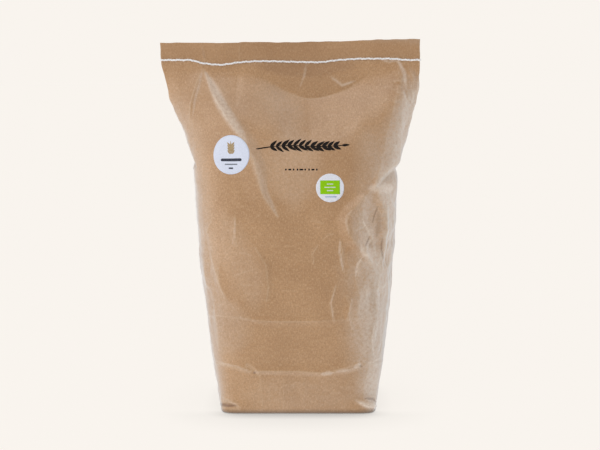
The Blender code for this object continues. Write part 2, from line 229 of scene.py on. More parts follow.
# Where the front is paler, in millimetres on the flat paper: half width, strength, line. The narrow marks
# along creases are pale rubbed wear and painted highlight on their ridges. The marks on the V fold, on the
# facets at the right and at the corners, and the broad marks, are painted highlight and painted sheen.
RUBBED_AND_PAINTED_HIGHLIGHTS = (
    (5.0, 1.0, ((-93, 366), (-80, 334), (-67, 311), (-53, 290))),
    (3.5, 0.4, ((-54, 288), (-41, 260), (-32, 236), (-20, 214))),
    (1.2, 0.5, ((-96, 370), (-105, 345), (-113, 318))),
    (5.0, 0.8, ((78, 243), (92, 243), (112, 241))),
    (1.8, 0.8, ((114, 380), (119, 372), (124, 362), (126, 345))),
    (1.2, 0.5, ((42, 361), (55, 350), (71, 355))),
    (1.0, 0.45, ((18, 378), (14, 362), (8, 348))),
    (0.9, 0.5, ((131, 352), (134, 338), (132, 324))),
    (0.9, 0.35, ((40, 142), (34, 122), (37, 100))),
    (0.9, 0.4, ((57, 128), (53, 110), (57, 90))),
    (1.0, 0.4, ((84, 98), (80, 82), (85, 62))),
    (0.8, 0.35, ((92, 150), (88, 132), (92, 112))),
    (1.1, 0.6, ((98, 376), (108, 374), (120, 377))),
    (0.9, 0.4, ((59, 222), (52, 213), (51, 207), (54, 195))),
    (1.0, 0.8, ((69, 210), (73, 202), (80, 190))),
    (1.8, 1.0, ((67, 184), (69, 175), (76, 169))),
    (1.0, 0.6, ((45, 190), (44, 176), (48, 155))),
    (1.0, 0.9, ((69, 170), (63, 163), (61, 149))),
    (15.0, 0.17, ((-78, 214), (-66, 176), (-52, 152), (-46, 116))),
    (20.0, 0.22, ((-80, 124), (-72, 66))),
    (24.0, 0.24, ((-8, 304), (-2, 226))),
    (13.0, 0.3, ((72, 134), (67, 100), (70, 62))),
    (14.0, 0.3, ((79, 46), (80, 20))),
    (1.0, 0.5, ((-66, 213), (-65, 203), (-68, 183))),
    (0.9, 0.35, ((-97, 176), (-84, 137), (-75, 122), (-60, 105), (-33, 99))),
    (0.8, 0.5, ((-100, 55), (-86, 55), (-68, 53), (-52, 48))),
    (1.8, 0.75, ((24, 45), (37, 47))),
    (1.5, 0.6, ((40, 48), (54, 50))),
    (1.8, 0.75, ((59, 52), (69, 55))),
    (1.0, 0.6, ((74, 55), (100, 57))),
    (0.7, 0.12, ((-62, 104), (-31, 102), (1, 102), (35, 103))),
    (16.0, 0.14, ((-60, 22), (70, 22))),
    (2.2, 1.0, ((64, 15), (74, 10), (86, 7), (97, 5))),
)

# Painted shade on the front, in the depth of a fold or under the seam, in the same form
PAINTED_SHADES = (
    (1.6, 1.0, ((-100, 6), (-84, 9), (-68, 9))),
    (1.1, 0.9, ((-49, 48), (-47, 45))),
    (0.8, 0.8, ((66, 54), (70, 51))),
    (1.0, 0.8, ((74, 17), (86, 15), (94, 10))),
    (0.8, 0.5, ((-95, 392), (-93, 382))),
    (0.8, 0.8, ((78, 192), (72, 181))),
    (0.7, 0.8, ((93, 190), (93, 176), (103, 156))),
    (0.8, 0.7, ((88, 223), (84, 213), (81, 205))),
    (2.4, 0.3, ((89, 218), (89, 203), (87, 190))),
    (14.0, 0.12, ((-6, 362), (20, 348), (52, 360))),
    (7.0, 0.32, ((-34, 371), (10, 367), (70, 371))),
)

# In millimetres: how the relief fades towards the seam and the foot, and how the thread shapes the paper.
# The groove and the pucker have a height and a reach, the drift a height, size, seed, middle and reach.
HEM_SHARE = 0.25
HEM_FADES = (3, 12)
FOOT_FADES = 6
GROOVE = (-0.35, 1.6)
PUCKER = (0.09, 5)
SEAM_DRIFT = (0.9, 17, 61, -9, 16)
LIPS_NOISE = (40, 71)

# The ragged cut edge and the wandering sides: height, size and random seed of the noise
RAGGED = ((0.45, 9, 81), (0.5, 33, 82))
SIDE_WANDER = (1.0, 11, 83)
SIDE_WANDER_START = 300 * MM
SIDE_WANDER_REACH = 60 * MM

# The steps round the bottom edge in degrees, and how the base is set in under it
FOOT_STEPS = (0, 20, 38, 54, 68, 80, 90)
BASE_INSET_SHARE = 0.965
BASE_INSET_LIFT = 0.9 * MM
INNER_ROWS = 14
INNER_END = 2 * MM
SHARP_ANGLE = 55


def smooth_between(heights, values, z):
    """A smooth curve through the values, read at z, that rises and falls only where they do."""
    x = np.asarray(heights, float)
    y = np.asarray(values, float)
    slope = np.diff(y) / np.diff(x)
    same_way = slope[:-1] * slope[1:] > 0
    before = slope[:-1][same_way]
    after = slope[1:][same_way]
    tangent = np.zeros(len(x))
    tangent[1:-1][same_way] = 2 * before * after / (before + after)
    tangent[[0, -1]] = slope[[0, -1]]
    k = np.clip(np.searchsorted(x, z, side="right") - 1, 0, len(x) - 2)
    h = x[k + 1] - x[k]
    t = np.clip((z - x[k]) / h, 0, 1)
    from_low = (1 + 2 * t) * (1 - t) ** 2 * y[k] + t * (1 - t) ** 2 * h * tangent[k]
    from_high = t**2 * (3 - 2 * t) * y[k + 1] + t**2 * (t - 1) * h * tangent[k + 1]
    return from_low + from_high


def read_curve(curve, x):
    """A curve given as pairs in millimetres, read at x in metres."""
    places, values = np.array(curve).T
    return smooth_between(places, values, x / MM) * MM


def added_up(steps):
    """How far it is to each point, when these are the steps between them."""
    return np.concatenate([[0], np.cumsum(steps)])


def ring_at(z, columns):
    """The whole outline at height z: the front from left to right, then the back from right to left."""
    heights, *sides = np.array(OUTLINES).T
    *sizes, square_x, square_y = [smooth_between(heights * MM, values, z) for values in sides]
    left, right, front, back = [size * MM for size in sizes]
    angle = np.linspace(math.pi, 0, OUTLINE_SAMPLES)
    cosine = np.cos(angle)
    x = (left + right) / 2 + (right - left) / 2 * np.sign(cosine) * np.abs(cosine) ** (2 / square_x)
    shares = np.arange(columns) / columns
    halves = []
    for depth, half_shares in ((-front, shares), (back, 1 - shares)):
        y = depth * np.abs(np.sin(angle)) ** (2 / square_y)
        along = added_up(np.hypot(np.diff(x), np.diff(y)))
        halves.append([np.interp(half_shares * along[-1], along, values) for values in (x, y)])
    x, y = np.concatenate(halves, axis=1)
    return np.stack([x, y, np.full(2 * columns, z)], axis=1)


def girth_of(columns):
    """How far round the flat tube each column is from the middle of the front."""
    return -HALF_FLAT + FLAT_WIDTH * np.arange(2 * columns) / columns


def across(face, girth):
    """Distance round the tube from the middle of a face, the short way."""
    return (girth - FACES[face] * HALF_FLAT + GIRTH / 2) % GIRTH - GIRTH / 2


def pressed_share(girth, z):
    """How much of its depth the paper loses under the seam, from 0 to 1."""
    share = np.zeros(np.broadcast(girth, z).shape)
    for face, (reach, arch) in ARCHES.items():
        x = across(face, girth)
        below = np.clip((read_curve(arch, x) - z) / (reach * MM), 0, 1)
        share = np.where(np.abs(x) <= HALF_FLAT, PRESSED * (1 - below) ** 2, share)
    return share


def distance_to_line(x, z, line):
    """Distance on the flat paper to a line, whether a place is on its left, and how far along it, 0 to 1."""
    points = np.array(line) * MM
    lengths = np.hypot(*np.diff(points, axis=0).T)
    start = added_up(lengths)
    best = np.full(np.broadcast(x, z).shape, np.inf)
    on_left = np.zeros(best.shape, bool)
    along = np.zeros_like(best)
    for i, (a, b) in enumerate(zip(points[:-1], points[1:])):
        d = b - a
        t = np.clip(((x - a[0]) * d[0] + (z - a[1]) * d[1]) / (d @ d), 0, 1)
        gap = np.hypot(x - a[0] - t * d[0], z - a[1] - t * d[1])
        nearer = gap < best
        best = np.where(nearer, gap, best)
        on_left = np.where(nearer, d[0] * (z - a[1]) > d[1] * (x - a[0]), on_left)
        along = np.where(nearer, (start[i] + t * lengths[i]) / start[-1], along)
    return best, on_left, along


def flank(t):
    """The side of a fold: a flat slope from 1 down to 0 at t = 1, with a soft foot."""
    return (1 - t + np.sqrt((1 - t) ** 2 + 0.03)) / 2


def fold_height(x, z, rise, left_reach, right_reach, line):
    """How far one fold lifts the paper: full on its line, lower and narrower towards both ends."""
    gap, on_left, along = distance_to_line(x, z, line)
    taper = np.clip(1 - (2 * along - 1) ** 2, 0.05, 1)
    reach = np.where(on_left, left_reach, right_reach) * taper * MM
    return rise * MM * taper * np.clip(flank(gap / reach) - flank(3), 0, 1)


def add_fold(height, girth, z, face, fold):
    """Adds one fold to the relief, worked out only where it reaches."""
    _, left_reach, right_reach, line = fold
    x = across(face, girth)
    low = (np.array(line).min(axis=0) - 3 * max(left_reach, right_reach)) * MM
    high = (np.array(line).max(axis=0) + 3 * max(left_reach, right_reach)) * MM
    near = (x > low[0]) & (x < high[0]) & (z > low[1]) & (z < high[1])
    height[near] += fold_height(x[near], z[near], *fold)


def eased(t):
    """A smooth step from 0 to 1."""
    return t * t * t * (t * (t * 6 - 15) + 10)


def read_grid(grid, row, column, next_column, up, aside):
    """Reads a grid between four of its points."""
    lower = grid[row, column] * (1 - aside) + grid[row, next_column] * aside
    upper = grid[row + 1, column] * (1 - aside) + grid[row + 1, next_column] * aside
    return lower * (1 - up) + upper * up


def soft_noise(girth, z, size, seed):
    """Smooth noise on the flat paper that joins up round the tube, from about -1 to 1."""
    round_cells = round(GIRTH / (size * MM))
    up_cells = int(HEIGHT / (size * MM)) + 3
    lattice = np.random.default_rng(seed).uniform(-1, 1, (up_cells, round_cells))
    column = (girth + HALF_FLAT) / GIRTH * round_cells
    row = z / (size * MM) + 0.5
    i = np.floor(column).astype(int)
    j = np.clip(np.floor(row).astype(int), 0, up_cells - 2)
    up = eased(np.clip(row - j, 0, 1))
    return read_grid(lattice, j, i % round_cells, (i + 1) % round_cells, up, eased(column - i))


def spot(girth, z, face, x0, z0, reach_x, reach_z):
    """A soft round spot on the flat paper: 1 in its middle, and fading over its reaches."""
    x = across(face, girth) / MM
    return np.exp(-(((x - x0) / reach_x) ** 2) - ((z / MM - z0) / reach_z) ** 2)


def crumpledness(girth, z):
    """How crumpled the paper is at a place, from nearly 0 to about 1."""
    strength = np.full(np.broadcast(girth, z).shape, CALM_CRUMPLE)
    for *place, amount in CRUMPLED:
        strength = np.maximum(strength, amount * spot(girth, z, *place))
    return strength


def random_creases():
    """Short creases scattered over the paper, more of them where it is crumpled: face and fold."""
    draw = np.random.default_rng(CREASE_SEED)
    base_margin, seam_margin = CREASE_MARGINS
    turn_spread, bend_spread = CREASE_SPREADS
    creases = []
    for _ in range(CREASE_TRIES):
        girth = draw.uniform(-HALF_FLAT, GIRTH - HALF_FLAT)
        z = draw.uniform(base_margin * MM, SEAM_HEIGHT - seam_margin * MM)
        keep = draw.uniform() < crumpledness(girth, z)
        half = draw.uniform(*CREASE_LENGTHS) / 2
        turn = draw.normal(math.pi / 2, turn_spread)
        bend = draw.normal(0, bend_spread)
        height = draw.uniform(*CREASE_HEIGHTS) * draw.choice((-1, 1))
        reaches = draw.uniform(*CREASE_REACHES, 2)
        if keep:
            face = "front" if abs(across("front", girth)) < HALF_FLAT else "back"
            x = float(across(face, np.float64(girth))) / MM
            up = z / MM
            start = (x - half * math.cos(turn - bend), up - half * math.sin(turn - bend))
            end = (x + half * math.cos(turn + bend), up + half * math.sin(turn + bend))
            creases.append((face, height, *reaches, (start, (x, up), end)))
    return creases


def crumple(girth, z):
    """Broad facets with sharp edges between them, where smooth noise is folded over at zero."""
    height = np.zeros(np.broadcast(girth, z).shape)
    for size, amount, seed, second_seed in CRUMPLE_SIZES:
        second = soft_noise(girth, z, size * SECOND_LAYER_SIZE, second_seed)
        height += amount * MM * (np.abs(soft_noise(girth, z, size, seed)) - np.abs(second))
    return height * crumpledness(girth, z)


def stitch_pull(girth, z):
    """The thread pulls the paper in along the seam and puckers it between the holes."""
    from_seam = (z - SEAM_HEIGHT) / MM
    groove = GROOVE[0] * np.exp(-((from_seam / GROOVE[1]) ** 2))
    waves = np.cos(2 * math.pi * girth / STITCH_LENGTH)
    pucker = PUCKER[0] * waves * np.exp(-((from_seam / PUCKER[1]) ** 2))
    rise, size, seed, middle, reach = SEAM_DRIFT
    near = np.clip(1 - np.abs(from_seam - middle) / reach, 0, 1)
    drift = rise * soft_noise(girth, np.zeros_like(z), size, seed) * near
    return (groove + pucker + drift) * MM


def relief(girth, z):
    """How far the paper stands out from the smooth bag."""
    height = np.zeros(np.broadcast(girth, z).shape)
    for *place, rise in SWELLS:
        height += rise * MM * spot(girth, z, *place)
    on_front = [("front", *crease) for crease in CREASES]
    for face, *fold in [*FOLDS, *on_front, *random_creases()]:
        add_fold(height, girth, z, face, fold)
    height += crumple(girth, z)
    fade_end, fade_reach = HEM_FADES
    hem = np.clip((SEAM_HEIGHT - fade_end * MM - z) / (fade_reach * MM), HEM_SHARE, 1)
    foot = np.clip(z / (FOOT_FADES * MM), 0, 1)
    return height * hem * foot + stitch_pull(girth, z)


def risen(z, start, end):
    """How far z has come from start to end, from 0 to 1."""
    return np.clip((z - start) / (end - start), 0, 1)


def lips(girth, z):
    """Above the seam the two layers stand a little apart, more in some places than in others."""
    rise = risen(z, SEAM_HEIGHT, HEIGHT)
    from_front = across("front", girth)
    from_middle = np.where(np.abs(from_front) > HALF_FLAT, across("back", girth), from_front)
    ends = np.clip(1 - (from_middle / HALF_FLAT) ** 8, 0, 1)
    spread = 0.5 + 0.5 * soft_noise(girth, np.zeros_like(z), *LIPS_NOISE)
    return LIP_OPENING * rise**1.4 * ends * spread


def facing(points, rows):
    """The way each point of the grid faces."""
    round_way = np.roll(points, -1, axis=1) - np.roll(points, 1, axis=1)
    up_way = np.gradient(points, rows, axis=0)
    normals = np.cross(round_way, up_way)
    return normals / np.maximum(np.linalg.norm(normals, axis=2, keepdims=True), 1e-12)


def lift_hem(points, girth, z):
    """Follows the uneven sewing line and cut edge, and waves the flat top to the front and the back."""
    x = points[:, :, 0]
    under_seam = risen(z, LIFT_START, SEAM_HEIGHT)
    over_seam = risen(z, SEAM_HEIGHT, HEIGHT)
    level = np.zeros_like(z)
    ragged = sum(rise * MM * soft_noise(girth, level, size, seed) for rise, size, seed in RAGGED)
    edge = read_curve(EDGE_LIFT, x) + ragged
    points[:, :, 2] += under_seam * (1 - over_seam) * read_curve(SEAM_LIFT, x) + over_seam * edge
    flatness = risen(z, HEM_WAVE_START, SEAM_HEIGHT) ** 2
    points[:, :, 1] += flatness * HEM_WAVE * np.sin(2 * math.pi * x / HEM_WAVE_LENGTH + 0.6)
    side = np.clip((np.abs(x) - 0.8 * HALF_FLAT) / (0.2 * HALF_FLAT), 0, 1) * np.sign(x)
    rise, size, seed = SIDE_WANDER
    rising = np.clip((z - SIDE_WANDER_START) / SIDE_WANDER_REACH, 0, 1)
    points[:, :, 0] += side * rising * rise * MM * soft_noise(level, z, size, seed)


def bag_surface(rows, columns, inset=0.0):
    """The bag's points, row by row, and the way each one faces. An inset gives the paper's inner side."""
    points = np.array([ring_at(z, columns) for z in rows])
    girth, z = np.meshgrid(girth_of(columns), rows)
    points[:, :, 1] *= 1 - pressed_share(girth, z)
    normals = facing(points, rows)
    least = LEAST_DEPTH * points[:, :, 1] * (1 - inset / (2 * PAPER_THICKNESS))
    low = np.clip(BASE_EDGE_RADIUS - rows, 0, None)
    rounding = BASE_EDGE_RADIUS - np.sqrt(BASE_EDGE_RADIUS**2 - low**2)
    sideways = normals * (1, 1, 0)
    out = relief(girth, z) + lips(girth, z) - inset
    points = points + normals * out[:, :, None] - sideways * rounding[:, None, None]
    front = np.arange(2 * columns) < columns
    depth = points[:, :, 1]
    points[:, :, 1] = np.where(front, np.minimum(depth, least), np.maximum(depth, least))
    points[rows == 0, :, 2] = 0
    lift_hem(points, girth, z)
    return points, facing(points, rows)


def paper_rows():
    """Heights of the mesh rows: closest together round the bottom edge, even above it."""
    foot = [BASE_EDGE_RADIUS * (1 - math.cos(a)) for a in np.radians(FOOT_STEPS)]
    count = round((HEIGHT - foot[-1]) / ROW_STEP)
    return np.array(foot + list(np.linspace(foot[-1], HEIGHT, count))[1:])


def on_paper(grid, girth, z):
    """Reads a grid of the bag's surface at places on the flat paper."""
    count = grid.shape[1]
    column = (np.asarray(girth) + HALF_FLAT) / GIRTH * count
    left = np.floor(column).astype(int)
    low = np.clip(np.searchsorted(ROWS, z, side="right") - 1, 0, len(ROWS) - 2)
    up = ((z - ROWS[low]) / (ROWS[low + 1] - ROWS[low]))[..., None]
    return read_grid(grid, low, left % count, (left + 1) % count, up, (column - left)[..., None])


ROWS = paper_rows()
POINTS, NORMALS = bag_surface(ROWS, COLUMNS)


def put_in_scene(name, data):
    """A new object in the scene."""
    made = bpy.data.objects.new(name, data)
    bpy.context.scene.collection.objects.link(made)
    return made


def add_piece(name, mesh, material, nodes=()):
    """Puts a mesh in the scene, riding on the bag, and says which nodes it replaces."""
    mesh.materials.append(material)
    piece = put_in_scene(name, mesh)
    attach(piece, "root")
    if nodes:
        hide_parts(*nodes)
    return piece


def add_sheet(name, mesh, thickness, material, nodes=()):
    """Puts a thin sheet in the scene, made thick outwards."""
    thick = add_piece(name, mesh, material, nodes).modifiers.new("thickness", "SOLIDIFY")
    thick.thickness = thickness
    thick.offset = 1


@contextmanager
def edited(mesh):
    """Opens a mesh for changes to its points and faces."""
    shape = bmesh.new()
    shape.from_mesh(mesh)
    yield shape
    shape.to_mesh(mesh)
    shape.free()


def set_inputs(tree, made, inputs):
    """Links or sets each of a node's inputs, by a socket, number, vector or colour."""
    for key, value in inputs.items():
        socket = made.inputs[key]
        if isinstance(value, bpy.types.NodeSocket):
            tree.links.new(value, socket)
        elif socket.type == "RGBA":
            socket.default_value = (*value, 1)
        else:
            socket.default_value = value


def node(tree, kind, inputs=None, **properties):
    """A shader node with its properties and inputs, the inputs by name or number."""
    made = tree.nodes.new(kind)
    for key, value in properties.items():
        setattr(made, key, value)
    set_inputs(tree, made, inputs or {})
    return made


def worked_out(tree, operation, *values):
    """The result of a calculation on sockets and numbers."""
    return node(tree, "ShaderNodeMath", dict(enumerate(values)), operation=operation).outputs[0]


def noise(tree, place, scale, detail=3.0, roughness=0.55, stretch=(1, 1, 1)):
    """A noise texture, stretched by scaling its coordinates."""
    mapping = node(tree, "ShaderNodeMapping", {"Vector": place, "Scale": stretch})
    inputs = {"Vector": mapping.outputs[0], "Scale": scale, "Detail": detail, "Roughness": roughness}
    return node(tree, "ShaderNodeTexNoise", inputs).outputs["Fac"]


def remap(tree, value, low, high, to_low, to_high):
    """Maps a value from one range to another, clamped."""
    inputs = {"Value": value, "From Min": low, "From Max": high, "To Min": to_low, "To Max": to_high}
    return node(tree, "ShaderNodeMapRange", inputs).outputs["Result"]


def blend(tree, factor, first, second):
    """Mixes two colours, each a socket or a colour."""
    return node(tree, "ShaderNodeMix", {0: factor, 6: first, 7: second}, data_type="RGBA").outputs[2]


def bump(tree, height, strength, distance, under=None):
    """A bump on a height, over another bump if one is given."""
    made = node(tree, "ShaderNodeBump", {"Height": height, "Strength": strength, "Distance": distance})
    if under is not None:
        set_inputs(tree, made, {"Normal": under})
    return made.outputs["Normal"]


def new_material(name):
    """A Principled material, its node tree and its shader."""
    material = bpy.data.materials.new(name)
    material.use_nodes = True
    tree = material.node_tree
    return material, tree, tree.nodes["Principled BSDF"]


# Noises on the kraft paper, by metres of it: scale, detail, roughness, stretch
KRAFT_NOISES = {
    "blotches": (14, 5, 0.6),
    "cloud": (420, 4, 0.7),
    "fibres": (1050, 3, 0.65, (1, 0.3, 1)),
    "cross_fibres": (1150, 3, 0.65, (0.3, 1, 1)),
    "lines": (520, 2, 0.5, (1, 0.02, 1)),
    "breaks": (260, 5, 0.75),
}
SPECK_SCALE = 260

# The paper's colour, layer on layer: what drives it, from and to which value, its share at both, its colour
KRAFT_DEEP = (0.480, 0.258, 0.114)
KRAFT_CLOUD = (0.380, 0.195, 0.082)
KRAFT_LAYERS = (
    ("blotches", 0.35, 0.65, 0, 1, (0.610, 0.350, 0.172)),
    ("cloud", 0.42, 0.66, 0, 0.5, KRAFT_CLOUD),
    ("fibres", 0.48, 0.72, 0, 0.5, (0.80, 0.57, 0.37)),
    ("cross_fibres", 0.48, 0.75, 0, 0.55, (0.32, 0.14, 0.02)),
    ("lines", 0.5, 0.75, 0, 0.22, KRAFT_DEEP),
    ("specks", 0, 0.1, 0.55, 0, (0.20, 0.10, 0.045)),
    ("wear", 0, 1, 0, 0.36, (0.74, 0.55, 0.37)),
)

# Marks broken up by noise, painted sheen and pale rubbed wear with painted highlights: the attribute, the
# most it covers, its colour. Then the other marks, unbroken: painted shade in folds, under the seam and along
# the foot, and the darker hem.
KRAFT_MARKS = (("painted_sheen", 0.7, (0.73, 0.66, 0.58)), ("rubbed_and_painted_highlight", 0.6, (0.96, 0.82, 0.69)))
BREAKS = (0.36, 0.6, 0.4, 1.0)
# The colour of the painted shade in folds and under the seam, and its most share
KRAFT_PAINTED_SHADE = (0.22, 0.10, 0.04)
PAINTED_SHADE_SHARE = 0.8
# Painted shade along the foot, darker towards the bottom edge: its colour, height, most share and curve
KRAFT_FOOT_SHADE = (0.03, 0.015, 0.008)
FOOT_SHADE_HEIGHT = 7 * MM
FOOT_SHADE_SHARE = 0.98
FOOT_SHADE_POWER = 1.5
HEM_SHADE_SHARE = 0.3

# The surface: its roughness by the cloud, and bumps by a noise's name, strength and depth in metres
KRAFT_ROUGHNESS = (0.3, 0.7, 0.38, 0.48)
KRAFT_BUMPS = (("lines", 0.25, 0.00006), ("fibres", 0.35, 0.00010), ("cloud", 0.30, 0.00022))

# Wear by how sharply the paper bends: its gain on ridges, its gain in valleys, and what is taken off
WEAR = (4.5, 2, 0.12)

# Painted sheen: a paler grey where the paper turns sideways at the rounded corners. The way they face, the
# turn at which this starts, that at which it is full, and its strength. Then how the turns are softened, and
# where, over how much and by how much the grey fades again.
CORNER_PAINTED_SHEEN = ((1, 0.08, 0.65, 1.0), (-1, 0.4, 0.85, 0.45))
CORNER_SOFTENING = 9
CORNER_SOFT_SHARE = 0.85
CORNER_FADE = (0.6, 0.4, 0.5)

# How much darker the grain makes plain paper, ink and thread
PLAIN_GRAIN = 0.12


def kraft_material():
    """Brown kraft paper: fibres, soft blotches, specks, pale worn creases, painted sheen and highlights,
    painted shade, a low glaze.
    """
    material, tree, shader = new_material("kraft_paper_look")
    place = node(tree, "ShaderNodeUVMap", uv_map="paper").outputs["UV"]
    drivers = {name: noise(tree, place, *values) for name, values in KRAFT_NOISES.items()}
    for name in ("wear", "painted_sheen", "rubbed_and_painted_highlight", "painted_shade"):
        drivers[name] = node(tree, "ShaderNodeAttribute", attribute_name=name).outputs["Fac"]
    specks = node(tree, "ShaderNodeTexVoronoi", {"Vector": place, "Scale": SPECK_SCALE})
    drivers["specks"] = specks.outputs["Distance"]
    colour = KRAFT_DEEP
    for name, low, high, share_low, share_high, layer in KRAFT_LAYERS:
        share = remap(tree, drivers[name], low, high, share_low, share_high)
        colour = blend(tree, share, colour, layer)
    broken = remap(tree, drivers["breaks"], *BREAKS)
    # Painted sheen at the corners, and pale rubbed wear with painted highlights, both broken up by noise
    for name, most, paler in KRAFT_MARKS:
        share = remap(tree, drivers[name], 0, 1, 0, most)
        colour = blend(tree, worked_out(tree, "MULTIPLY", share, broken), colour, paler)
    # Painted shade in the depth of folds and under the seam
    colour = blend(tree, remap(tree, drivers["painted_shade"], 0, 1, 0, PAINTED_SHADE_SHARE), colour, KRAFT_PAINTED_SHADE)
    up = node(tree, "ShaderNodeSeparateXYZ", {0: place}).outputs["Y"]
    # Painted shade along the foot, darker towards the bottom edge
    near_foot = remap(tree, up, 0, FOOT_SHADE_HEIGHT, FOOT_SHADE_SHARE, 0)
    colour = blend(tree, worked_out(tree, "POWER", near_foot, FOOT_SHADE_POWER), colour, KRAFT_FOOT_SHADE)
    over_seam = remap(tree, up, SEAM_HEIGHT - 1 * MM, SEAM_HEIGHT, 0, HEM_SHADE_SHARE)
    colour = blend(tree, over_seam, colour, KRAFT_CLOUD)
    normal = None
    for name, strength, depth in KRAFT_BUMPS:
        normal = bump(tree, drivers[name], strength, depth, normal)
    set_inputs(tree, shader, {
        "Base Color": colour,
        "Roughness": remap(tree, drivers["cloud"], *KRAFT_ROUGHNESS),
        "Specular IOR Level": 0.6,
        "IOR": 1.5,
        "Sheen Weight": 1.0,
        "Sheen Roughness": 0.5,
        "Sheen Tint": (0.95, 0.98, 1.0),
        "Normal": normal,
    })
    return material


def plain_material(name, colour, roughness, grain_scale=900, grain_depth=0.00004, gloss=0.5):
    """A paper, ink or thread material: one colour with a fine grain in its shade and its surface."""
    material, tree, shader = new_material(name)
    grains = noise(tree, node(tree, "ShaderNodeTexCoord").outputs["Object"], grain_scale, 3, 0.6)
    darker = tuple(channel * (1 - PLAIN_GRAIN) for channel in colour)
    set_inputs(tree, shader, {
        "Base Color": blend(tree, remap(tree, grains, 0.3, 0.7, 0, 1), darker, colour),
        "Roughness": remap(tree, grains, 0.3, 0.7, roughness - 0.05, roughness + 0.05),
        "Specular IOR Level": gloss,
        "Normal": bump(tree, grains, 0.4, grain_depth),
    })
    return material


def grid_mesh(name, points, close_round=True):
    """A mesh of a grid of points, joined up round the tube if asked."""
    up, round_count = points.shape[:2]
    index = np.arange(up * round_count).reshape(up, round_count)
    if close_round:
        index = np.concatenate([index, index[:, :1]], axis=1)
    quads = np.stack([index[:-1, :-1], index[:-1, 1:], index[1:, 1:], index[1:, :-1]], axis=-1)
    mesh = bpy.data.meshes.new(name)
    mesh.from_pydata(points.reshape(-1, 3).tolist(), [], quads.reshape(-1, 4).tolist())
    return mesh


def wear_of(points, normals):
    """How worn each point is: high on sharp ridges and, less, in sharp valleys."""
    bend = np.zeros(points.shape[:2])
    for axis in (0, 1):
        middle = (np.roll(points, 1, axis=axis) + np.roll(points, -1, axis=axis)) / 2
        bend += ((points - middle) * normals).sum(axis=2) / MM
    bend[:3] = 0
    bend[-3:] = 0
    ridge_gain, valley_gain, least = WEAR
    return np.clip(np.where(bend > 0, bend * ridge_gain, -bend * valley_gain) - least, 0, 1)


def marked(girth, z, marks):
    """How strongly each place is marked by soft-edged bands along lines on the front."""
    share = np.zeros(girth.shape)
    for half_width, strength, line in marks:
        gap, _, along = distance_to_line(across("front", girth), z, line)
        inside = half_width * MM * (1.2 - np.abs(2 * along - 1) ** 3) - gap
        band = np.clip(inside / (0.9 * half_width * MM) + 0.4, 0, 1)
        share = np.maximum(share, strength * band)
    return share


def softened(grid, reach):
    """The mean of a grid over this many places each way."""
    for axis in (0, 1):
        grid = sum(np.roll(grid, k, axis=axis) for k in range(-reach, reach + 1)) / (2 * reach + 1)
    return grid


def painted_sheen_of(normals):
    """How much painted sheen each point gets: a paler grey where the paper turns sideways at the rounded
    corners beside the front.
    """
    sideways = normals[:, :, 0]
    sideways = sideways + CORNER_SOFT_SHARE * (softened(sideways, CORNER_SOFTENING) - sideways)
    fade_start, fade_reach, fade_share = CORNER_FADE
    painted_sheen = np.zeros(sideways.shape)
    for way, start, full, strength in CORNER_PAINTED_SHEEN:
        turned = sideways * way
        fading = 1 - fade_share * np.clip((turned - fade_start) / fade_reach, 0, 1)
        painted_sheen = np.maximum(painted_sheen, strength * risen(turned, start, full) * fading)
    return painted_sheen


def set_values(mesh, name, values):
    """Stores one number at each point of a mesh; points past the end of the list get 0."""
    full = np.zeros(len(mesh.vertices))
    full[: values.size] = values.reshape(-1)
    mesh.attributes.new(name, "FLOAT", "POINT").data.foreach_set("value", full)


def lay_out(mesh, places):
    """Gives each point of a mesh its place on the flat paper, as a UV map."""
    paper = mesh.uv_layers.new(name="paper")
    for loop in mesh.loops:
        paper.data[loop.index].uv = places[loop.vertex_index]
    return paper


def close_bag(mesh, last_row):
    """Joins the inner paper across the bag at its last row, and closes the base a little above its edge."""
    count = 2 * COLUMNS
    first = last_row * count
    middle = POINTS[0].mean(axis=0)
    with edited(mesh) as shape:
        corners = list(shape.verts)
        for i in range(COLUMNS):
            ends = (i, i + 1, (count - i - 1) % count, (count - i) % count)
            shape.faces.new([corners[first + k] for k in dict.fromkeys(ends)])
        places = middle + (POINTS[0] - middle) * BASE_INSET_SHARE + np.array((0, 0, BASE_INSET_LIFT))
        inset = [shape.verts.new(place) for place in places]
        for i in range(count):
            j = (i + 1) % count
            shape.faces.new((corners[j], corners[i], inset[i], inset[j]))
        shape.faces.new(inset[::-1])


def lay_out_bag(mesh, heights):
    """Lays the tube out flat, split where the back meets the front again, and the base by its own places."""
    count = 2 * COLUMNS
    whole = len(heights) * count
    girth = girth_of(COLUMNS)
    places = [(g, height) for height in heights for g in girth]
    places.extend((vertex.co.x, vertex.co.y) for vertex in mesh.vertices[whole:])
    paper = lay_out(mesh, places)
    for face in mesh.polygons:
        ends = [(loop, mesh.loops[loop].vertex_index) for loop in face.loop_indices]
        if not any(vertex % count == count - 1 for _, vertex in ends):
            continue
        for loop, vertex in ends:
            if vertex % count == 0 and vertex < whole:
                paper.data[loop].uv = (GIRTH - HALF_FLAT, heights[vertex // count])


